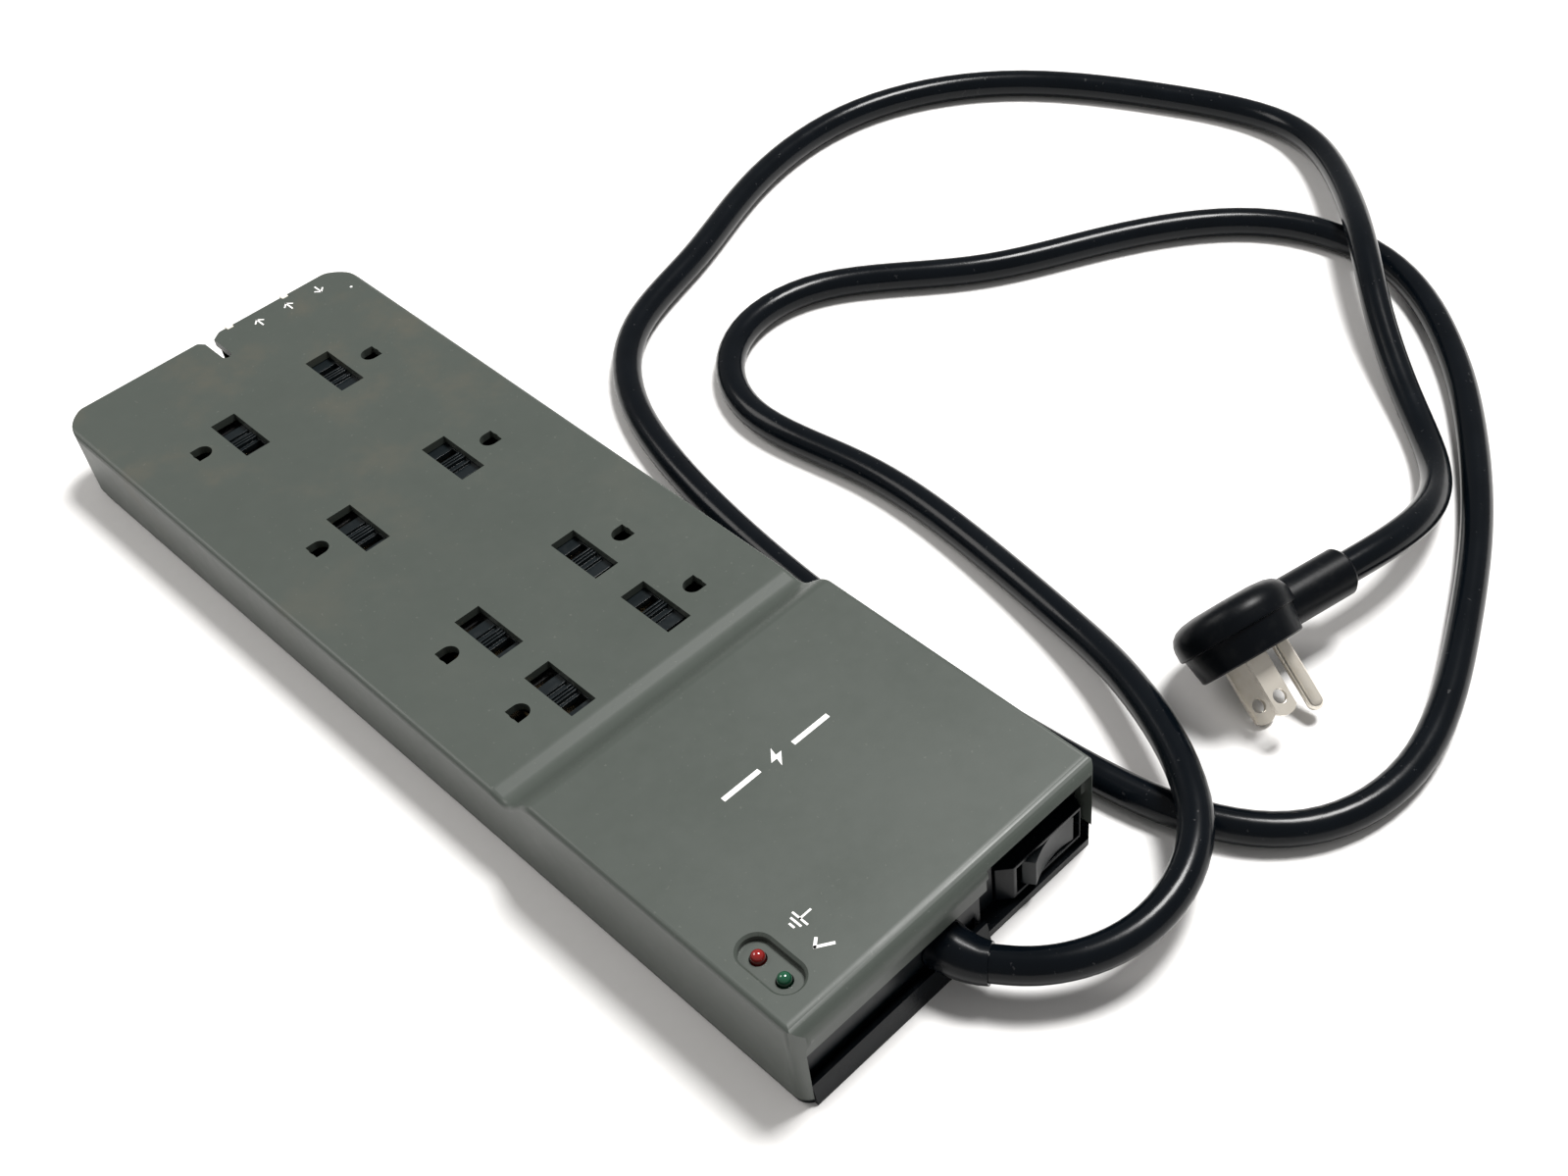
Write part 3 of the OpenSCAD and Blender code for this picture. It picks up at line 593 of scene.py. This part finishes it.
class Bench:
    """Modelling steps that every sub-assembly shares."""

    def __init__(self, frame: dict[str, Any], paint: Paint) -> None:
        """Keeps the loaded frame and the finishes.

        Args:
            paint: the built finishes.
        """
        self.frame = frame
        self.paint = paint
        self.body_of = {
            node: body
            for body, nodes in frame["record"]["behaviour"]["bodies"].items()
            for node in nodes
        }

    @staticmethod
    def clear() -> None:
        """Leaves object mode clean: nothing selected."""
        if bpy.context.object and bpy.context.object.mode != "OBJECT":
            bpy.ops.object.mode_set(mode="OBJECT")
        bpy.ops.object.select_all(action="DESELECT")

    @classmethod
    def pick(cls, piece: bpy.types.Object) -> None:
        """Makes a piece the only selected and active one."""
        cls.clear()
        piece.select_set(True)
        bpy.context.view_layer.objects.active = piece

    @classmethod
    def settle(cls, piece: bpy.types.Object) -> None:
        """Moves a piece's place into its mesh."""
        cls.pick(piece)
        bpy.ops.object.transform_apply(location=True, rotation=True, scale=True)

    @classmethod
    def soften(
        cls, piece: bpy.types.Object, width: float, segments: int, angle: float = 35.0
    ) -> None:
        """Bevels the piece's edges and smooths it.

        Args:
            piece: the mesh.
            width: bevel width in millimetres, or zero for no bevel.
            segments: bevel segments.
            angle: edges sharper than this many degrees are bevelled.
        """
        cls.pick(piece)
        if width > 0:
            bevel = piece.modifiers.new("edge", "BEVEL")
            bevel.width = width * MM
            bevel.segments = segments
            bevel.limit_method = "ANGLE"
            bevel.angle_limit = math.radians(angle)
            bevel.use_clamp_overlap = True
            bpy.ops.object.modifier_apply(modifier="edge")
        bpy.ops.object.shade_smooth_by_angle(angle=math.radians(CRISP_ANGLE))
        even = piece.modifiers.new("even", "WEIGHTED_NORMAL")
        even.keep_sharp = True
        even.weight = 50
        bpy.ops.object.modifier_apply(modifier="even")

    def copy_node(
        self, node: str, slot: Slot, width: float, segments: int = 2
    ) -> bpy.types.Object:
        """Copies a CAD node, merges its triangles, bevels and dresses it.

        Args:
            node: the CAD node, which the copy replaces.
            slot: its material slot.
            width: bevel width in millimetres.
            segments: bevel segments.

        Returns:
            The dressed copy, riding the node's body.
        """
        source = self.frame["nodes"][node]
        piece = bpy.data.objects.new(node + "_skin", source.data.copy())
        bpy.context.scene.collection.objects.link(piece)
        self.pick(piece)
        bpy.ops.object.mode_set(mode="EDIT")
        bpy.ops.mesh.select_all(action="SELECT")
        bpy.ops.mesh.remove_doubles(threshold=WELD * MM)
        bpy.ops.mesh.dissolve_limited(angle_limit=math.radians(FLAT_ANGLE))
        bpy.ops.object.mode_set(mode="OBJECT")
        self.soften(piece, width, segments)
        self.paint.dress(piece, slot)
        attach(piece, self.body_of[node])
        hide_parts(node)
        return piece

    def dress_node(self, node: str, slot: Slot) -> bpy.types.Object:
        """Gives a CAD node that stays its finish."""
        piece = self.frame["nodes"][node]
        piece.data.materials.clear()
        piece.data.materials.append(self.paint.made[slot])
        return piece

    def stroke(
        self, start: FlatPoint, end: FlatPoint, width: float, deck: float
    ) -> bpy.types.Object:
        """Makes a flat printed bar between two points of a deck, all in millimetres.

        Args:
            start: one end.
            end: the other end.
            width: the bar's width.
            deck: the deck's height.

        Returns:
            The bar, a thin closed solid on the deck.
        """
        self.clear()
        along = mm(*end) - mm(*start)
        bpy.ops.mesh.primitive_cube_add(size=1.0)
        piece = bpy.context.object
        piece.scale = (along.length + width * MM, width * MM, INK_DEPTH * MM)
        piece.rotation_euler = (0.0, 0.0, math.atan2(along.y, along.x))
        middle = (mm(*start) + mm(*end)) / 2
        piece.location = (*middle, (deck + INK_LIFT) * MM)
        self.settle(piece)
        return piece

    def join(
        self, name: str, pieces: Sequence[bpy.types.Object]
    ) -> bpy.types.Object:
        """Joins pieces into the first of them and names it."""
        self.clear()
        for piece in pieces:
            piece.select_set(True)
        bpy.context.view_layer.objects.active = pieces[0]
        if len(pieces) > 1:
            bpy.ops.object.join()
        joined = bpy.context.object
        joined.name = name
        return joined

    def print_on(self, piece: bpy.types.Object) -> bpy.types.Object:
        """Inks a printed mark and rides it on the housing."""
        piece.data.materials.clear()
        piece.data.materials.append(self.paint.ink)
        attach(piece, "housing")
        return piece


# --------------------------------------------------------------------- studio


@dataclass
class Studio:
    """Camera, pale floor and soft light.

    The eye, the sensor, the lens and the floor's drop are in millimetres, the roll is in
    degrees, and the floor's side is in metres.
    """

    eye: Point = (343.0, -174.5, 397.2)
    gaze: Point = (-0.48362, 0.48114, -0.73118)
    roll: float = -3.01
    sensor: float = 36.0
    lens: float = 44.1
    shift: FlatPoint = (-0.1129, 0.0128)
    floor_size: float = 6.0
    floor_drop: float = 0.1
    sky_colour: Colour = (1.0, 0.985, 0.97)
    sky_strength: float = 0.30

    def camera(self) -> bpy.types.Object:
        """Adds the camera at its place and makes it the scene's camera."""
        data = bpy.data.cameras.new("view")
        data.sensor_width = self.sensor
        data.lens = self.lens
        data.shift_x, data.shift_y = self.shift
        data.clip_start = 0.01
        data.dof.use_dof = False
        cam = bpy.data.objects.new("view", data)
        bpy.context.scene.collection.objects.link(cam)
        cam.location = mm(*self.eye)
        cam.rotation_mode = "QUATERNION"
        turn = Quaternion((0.0, 0.0, 1.0), math.radians(self.roll))
        cam.rotation_quaternion = Vector(self.gaze).to_track_quat("-Z", "Y") @ turn
        bpy.context.scene.camera = cam
        return cam

    def floor(self) -> bpy.types.Object:
        """Adds the pale floor, a hair below the object."""
        Bench.clear()
        bpy.ops.mesh.primitive_plane_add(
            size=self.floor_size, location=mm(0, 0, -self.floor_drop)
        )
        floor = bpy.context.object
        floor.name = "floor"
        g = Graph("floor_white")
        paper = g.noise(300.0, 2.0)
        floor.data.materials.append(g.finish(
            Base_Color=g.mix(paper, (0.86, 0.855, 0.845), (0.89, 0.885, 0.88)),
            Roughness=0.7,
        ))
        return floor

    def lamp(
        self, name: str, place: Point, aim: Point, size: float, power: float,
        colour: Colour,
    ) -> bpy.types.Object:
        """Adds one square soft light.

        Args:
            name: the light's name.
            place: where it stands, in metres.
            aim: the point it faces, in metres.
            size: its side in metres.
            power: its power in watts.
            colour: its colour.

        Returns:
            The light.
        """
        data = bpy.data.lights.new(name, "AREA")
        data.shape = "SQUARE"
        data.size = size
        data.energy = power
        data.color = colour
        lamp = bpy.data.objects.new(name, data)
        bpy.context.scene.collection.objects.link(lamp)
        lamp.location = place
        lamp.rotation_mode = "QUATERNION"
        lamp.rotation_quaternion = (Vector(aim) - Vector(place)).to_track_quat("-Z", "Y")
        return lamp

    def light(self) -> None:
        """Sets the sky and adds the soft lights."""
        scene = bpy.context.scene
        scene.view_settings.view_transform = "Standard"
        world = bpy.data.worlds.new("sky")
        world.use_nodes = True
        sky = world.node_tree.nodes["Background"]
        sky.inputs[0].default_value = (*self.sky_colour, 1.0)
        sky.inputs[1].default_value = self.sky_strength
        scene.world = world
        self.lamp(
            "key", place=(0.15, 0.85, 2.0), aim=(0.0, 0.1, 0.0), size=0.62,
            power=66.0, colour=(1.0, 0.99, 0.98),
        )
        self.lamp(
            "side", place=(-1.5, -0.65, 1.65), aim=(0.0, 0.05, 0.0), size=0.9,
            power=16.0, colour=(1.0, 0.97, 0.94),
        )

    def build(self) -> None:
        """Builds the camera, floor and light."""
        self.camera()
        self.floor()
        self.light()


# ----------------------------------------------------------------------- cord


@dataclass
class PlugPose:
    """Where the plug lies: the middle of its face and its two angles.

    Lengths are in millimetres and angles in degrees. The cord ends at boss_end in the
    plug's boss, boss_back behind the face, and comes in straight over lead_in.
    """

    origin: Point = (160.2, 111.5, 15.5)
    dip: float = 33.0
    turn: float = -12.0
    boss_back: float = 8.0
    boss_end: float = 40.0
    lead_in: float = 31.0

    def place(self, x: float, y: float, z: float) -> Vector:
        """A plug point in millimetres, in the part's frame in metres."""
        turned = Matrix.Rotation(math.radians(self.turn), 3, "Z") @ (
            Matrix.Rotation(math.radians(self.dip), 3, "Y") @ Vector((x, y, z)))
        return (Vector(self.origin) + turned) * MM

    def cord_end(self) -> list[Vector]:
        """The cord's last two points: before the plug's boss and at its end."""
        return [
            self.place(-self.boss_back, self.boss_end + reach, 0)
            for reach in (self.lead_in, 0.0)
        ]


@dataclass
class Cord:
    """The power cord: one smooth tube from the strain relief to the plug.

    The diameter and the control points are in millimetres, with a number of steps
    between each two points.
    """

    bench: Bench
    plug: PlugPose
    diameter: float = 9.4
    steps: int = 8
    points: tuple[Point, ...] = (
        (171, 0.5, 12), (183, 8, 13), (196, 30, 15), (188, 65, 17.5),
        (143, 88, 14), (115, 97, 7), (65, 106, 4.7), (21, 109, 4.7),
        (-23, 96, 4.7), (-57, 119, 4.7), (-58, 162, 4.7), (-15, 198, 4.7),
        (2, 240, 4.7), (34, 288, 4.7), (84, 298, 4.7), (124, 268, 4.7),
        (146, 244, 4.7), (172, 209, 4.7), (191, 172, 4.7), (214, 122, 4.7),
        (204, 82, 4.7), (170, 65, 4.7), (129, 62, 4.7), (74, 58, 4.7),
        (8, 63, 4.7), (-54, 76, 4.7), (-86, 104, 4.7), (-94, 144, 4.7),
        (-115, 186, 4.7), (-122, 243, 4.7), (-91, 295, 4.7), (-38, 322, 4.7),
        (12, 342, 4.7), (51, 311, 12), (79, 281, 18.5), (101, 258, 12),
        (128, 237, 4.7), (155, 216, 4.7),
    )

    def route(self) -> list[Vector]:
        """Finds the smooth centreline.

        Returns:
            Points in metres along the cubic B-spline of the control points.
        """
        held = [mm(*p) for p in self.points] + self.plug.cord_end()
        held = [2 * held[0] - held[1], *held, 2 * held[-1] - held[-2]]
        line = []
        for a, b, c, d in zip(held, held[1:], held[2:], held[3:]):
            for k in range(self.steps):
                t = k / self.steps
                line.append(((1 - t) ** 3 * a + (3 * t**3 - 6 * t * t + 4) * b
                             + (-3 * t**3 + 3 * t * t + 3 * t + 1) * c + t**3 * d) / 6)
        line.append(held[-2].copy())
        return line

    def build(self, riders: list[bpy.types.Object]) -> bpy.types.Object:
        """Args:
            riders: the pieces that go with the cord; not used.

        Returns:
            The cord's curve object.
        """
        line = self.route()
        data = bpy.data.curves.new("power_lead", "CURVE")
        data.dimensions = "3D"
        data.bevel_depth = self.diameter * MM / 2
        data.bevel_resolution = 7
        data.use_fill_caps = True
        spline = data.splines.new("POLY")
        spline.points.add(len(line) - 1)
        for point, place in zip(spline.points, line):
            point.co = (*place, 1.0)
        spline.use_smooth = True
        cord = bpy.data.objects.new("power_lead", data)
        bpy.context.scene.collection.objects.link(cord)
        self.bench.paint.dress(cord, Slot.CORD)
        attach(cord, "housing")
        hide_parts("power_cord")
        length = sum((b - a).length for a, b in zip(line, line[1:]))
        LOG.info("power lead: %.3f m long", length)
        return cord


# --------------------------------------------------------------------- pieces


@dataclass
class Plug:
    """Flat moulded plug with two blades and an earth pin."""

    bench: Bench

    def build(self) -> list[bpy.types.Object]:
        """Builds the plug's pieces."""
        body = self.bench.copy_node("plug_body", Slot.PLUG, 0.35, 3)
        blades = [
            self.bench.copy_node(node, Slot.BLADE, 0.22)
            for node in ("plug_blade_hot", "plug_blade_neutral")
        ]
        pin = self.bench.copy_node("plug_ground_pin", Slot.BLADE, 0.0)
        return [body, *blades, pin]


@dataclass
class StrainRelief:
    """Sleeve where the cord leaves the housing."""

    bench: Bench

    def build(self) -> list[bpy.types.Object]:
        """Builds the sleeve."""
        return [self.bench.copy_node("strain_relief", Slot.CORD, 0.3)]


@dataclass
class Housing:
    """Cover, base tray and the screws that join them."""

    bench: Bench

    def build(self) -> list[bpy.types.Object]:
        """Builds the housing's pieces."""
        return [
            self.bench.copy_node("top_cover", Slot.COVER, 0.28),
            self.bench.copy_node("base_tray", Slot.BLACK, 0.3),
            self.bench.copy_node("cover_screws", Slot.SCREW, 0.15),
        ]


@dataclass
class Marks:
    """Printed marks, in millimetres: a bolt, lamp signs, jack arrows and a dot."""

    bench: Bench
    raised: float = 32.0
    low: float = 24.0
    bolt_x: float = 101.2
    zigzag: tuple[FlatPoint, ...] = (
        (0.9, 3.0), (-2.1, -0.5), (-0.3, -0.5), (-0.9, -3.0), (2.1, 0.5), (0.3, 0.5))
    dash_from: float = 6.4
    dash_to: float = 16.8
    dash_width: float = 1.5
    earth_at: FlatPoint = (139.4, -28.6)
    tick_at: FlatPoint = (147.9, -30.4)
    jacks: tuple[tuple[str, float, bool], ...] = (
        ("out_1", 16.0, True), ("out_2", 26.8, True), ("in", 37.8, False))
    arrow_ends: FlatPoint = (-156.3, -152.7)
    arrow_barb: FlatPoint = (1.5, 1.4)
    dot_at: FlatPoint = (-147.5, 45.6)
    dot_radius: float = 0.22

    def strokes(
        self, name: str, deck: float, width: float,
        lines: Iterable[tuple[FlatPoint, FlatPoint]],
    ) -> bpy.types.Object:
        """Prints straight strokes as one mark.

        Args:
            name: the mark's name.
            deck: height of the deck.
            width: width of the strokes.
            lines: each stroke's two ends.

        Returns:
            The printed mark.
        """
        bars = [self.bench.stroke(a, b, width, deck) for a, b in lines]
        return self.bench.print_on(self.bench.join(name, bars))

    def bolt(self) -> bpy.types.Object:
        """Prints the centre mark: a zigzag bolt between two dashes."""
        self.bench.clear()
        bpy.ops.mesh.primitive_circle_add(
            vertices=len(self.zigzag), radius=1.0, fill_type="NGON"
        )
        bolt = bpy.context.object
        foot = self.raised + INK_LIFT - INK_DEPTH / 2
        for vertex, (x, y) in zip(bolt.data.vertices, self.zigzag):
            vertex.co = mm(self.bolt_x - y, x, foot)
        bpy.ops.object.mode_set(mode="EDIT")
        bpy.ops.mesh.select_all(action="SELECT")
        bpy.ops.mesh.extrude_region_move(
            TRANSFORM_OT_translate={"value": (0.0, 0.0, INK_DEPTH * MM)})
        bpy.ops.mesh.select_all(action="SELECT")
        bpy.ops.mesh.normals_make_consistent(inside=False)
        bpy.ops.object.mode_set(mode="OBJECT")
        dashes = [
            self.bench.stroke(
                (self.bolt_x, side * self.dash_from), (self.bolt_x, side * self.dash_to),
                self.dash_width, self.raised,
            )
            for side in (-1, 1)
        ]
        return self.bench.print_on(self.bench.join("mark_centre", [bolt, *dashes]))

    def lamp_marks(self) -> list[bpy.types.Object]:
        """Prints an earth sign and a tick beside the lamps."""
        x, y = self.earth_at
        earth = self.strokes("mark_earth", self.raised, 0.55, [
            ((x, y + 3.2), (x, y)),
            ((x - 2.3, y), (x + 2.3, y)),
            ((x - 1.5, y - 1.3), (x + 1.5, y - 1.3)),
            ((x - 0.6, y - 2.6), (x + 0.6, y - 2.6)),
        ])
        x, y = self.tick_at
        tick = self.strokes("mark_tick", self.raised, 0.8, [
            ((x - 1.9, y + 0.4), (x - 0.5, y - 1.3)),
            ((x - 0.5, y - 1.3), (x + 1.9, y + 2.3)),
        ])
        return [earth, tick]

    def jack_marks(self) -> list[bpy.types.Object]:
        """Prints an arrow for each telephone jack: two out and one in."""
        marks = []
        for name, y, out in self.jacks:
            tip, tail = self.arrow_ends if out else reversed(self.arrow_ends)
            back, spread = self.arrow_barb
            root = tip + (back if out else -back)
            marks.append(self.strokes(f"mark_jack_{name}", self.low, 0.5, [
                ((tail, y), (tip, y)),
                ((tip, y), (root, y - spread)),
                ((tip, y), (root, y + spread)),
            ]))
        return marks

    def dot(self) -> bpy.types.Object:
        """Prints the small dot beside the jack that goes in."""
        self.bench.clear()
        bpy.ops.mesh.primitive_torus_add(
            location=mm(*self.dot_at, self.low + INK_LIFT),
            major_radius=self.dot_radius * MM, minor_radius=self.dot_radius * MM,
            major_segments=40, minor_segments=6,
        )
        dot = bpy.context.object
        dot.name = "mark_dot"
        dot.scale = (1.0, 1.0, 0.06)
        self.bench.settle(dot)
        return self.bench.print_on(dot)

    def build(self) -> list[bpy.types.Object]:
        """Prints every mark."""
        dot = self.dot()
        return [self.bolt(), *self.lamp_marks(), *self.jack_marks(), dot]


@dataclass
class Outlets:
    """Sliding shutters with their guides and the contacts below them."""

    bench: Bench

    def build(self) -> list[bpy.types.Object]:
        """Builds the eight shutters and dresses what lies under them."""
        shutters = [
            self.bench.copy_node(f"shutter_{side}_{row}", Slot.SHUTTER, 0.12)
            for side in ("left", "right") for row in (1, 2, 3, 4)
        ]
        for side in ("left", "right"):
            self.bench.dress_node(f"shutter_guide_{side}", Slot.GUIDE)
            for kind in ("hot", "neutral", "ground"):
                self.bench.dress_node(f"bus_{kind}_{side}", Slot.BRASS)
        return shutters


@dataclass
class Electronics:
    """Board, its components, the wires and the cord's inner end."""

    bench: Bench

    def build(self) -> list[bpy.types.Object]:
        """Dresses the nodes inside the raised deck."""
        return [self.bench.dress_node(node, slot) for node, slot in (
            ("circuit_board", Slot.BOARD), ("board_screws", Slot.SCREW),
            ("varistors", Slot.BLUE), ("thermal_fuse", Slot.METAL),
            ("filter_choke", Slot.COPPER), ("filter_capacitor", Slot.YELLOW),
            ("led_board", Slot.BOARD), ("switch_terminals", Slot.BRASS),
            ("wire_hot", Slot.WIRE_BLACK), ("wire_neutral", Slot.WIRE_WHITE),
            ("wire_ground", Slot.WIRE_GREEN), ("cord_jacket", Slot.CORD),
            ("cord_clamp", Slot.GUIDE),
        )]


@dataclass
class Lamps:
    """The two indicator lamps."""

    bench: Bench

    def build(self) -> list[bpy.types.Object]:
        """Builds the lenses."""
        return [
            self.bench.copy_node("led_red", Slot.RED_LENS, 0.0),
            self.bench.copy_node("led_green", Slot.GREEN_LENS, 0.0),
        ]


@dataclass
class RockerSwitch:
    """Rocker switch in its pocket at the cord end."""

    bench: Bench

    def build(self) -> list[bpy.types.Object]:
        """Builds the switch's housing and rocker."""
        return [
            self.bench.copy_node("switch_housing", Slot.BLACK, 0.3),
            self.bench.copy_node("switch_rocker", Slot.SHUTTER, 0.5, 3),
        ]


@dataclass
class TelephonePanel:
    """Telephone jacks with their contacts, board and surge tubes."""

    bench: Bench

    def build(self) -> list[bpy.types.Object]:
        """Builds the jacks and dresses what is behind them."""
        jacks = [
            self.bench.copy_node(node, Slot.IVORY, 0.18)
            for node in ("phone_jack_out_1", "phone_jack_out_2", "phone_jack_in")
        ]
        self.bench.dress_node("phone_contacts", Slot.BRASS)
        self.bench.dress_node("phone_board", Slot.BOARD)
        self.bench.dress_node("phone_surge_tubes", Slot.CERAMIC)
        return jacks


def main() -> None:
    """Builds the whole scene in order."""
    logging.basicConfig(level=logging.INFO, format="%(message)s")
    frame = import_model()
    Studio().build()
    bench = Bench(frame, Paint())
    on_cord = [*Plug(bench).build(), *StrainRelief(bench).build()]
    Cord(bench, PlugPose()).build(on_cord)
    for maker in (Housing(bench), Marks(bench), Outlets(bench), Electronics(bench),
                  Lamps(bench), RockerSwitch(bench), TelephonePanel(bench)):
        for piece in maker.build():
            LOG.info("%s: %d faces", piece.name, len(piece.data.polygons))


if __name__ == "__main__":
    main()
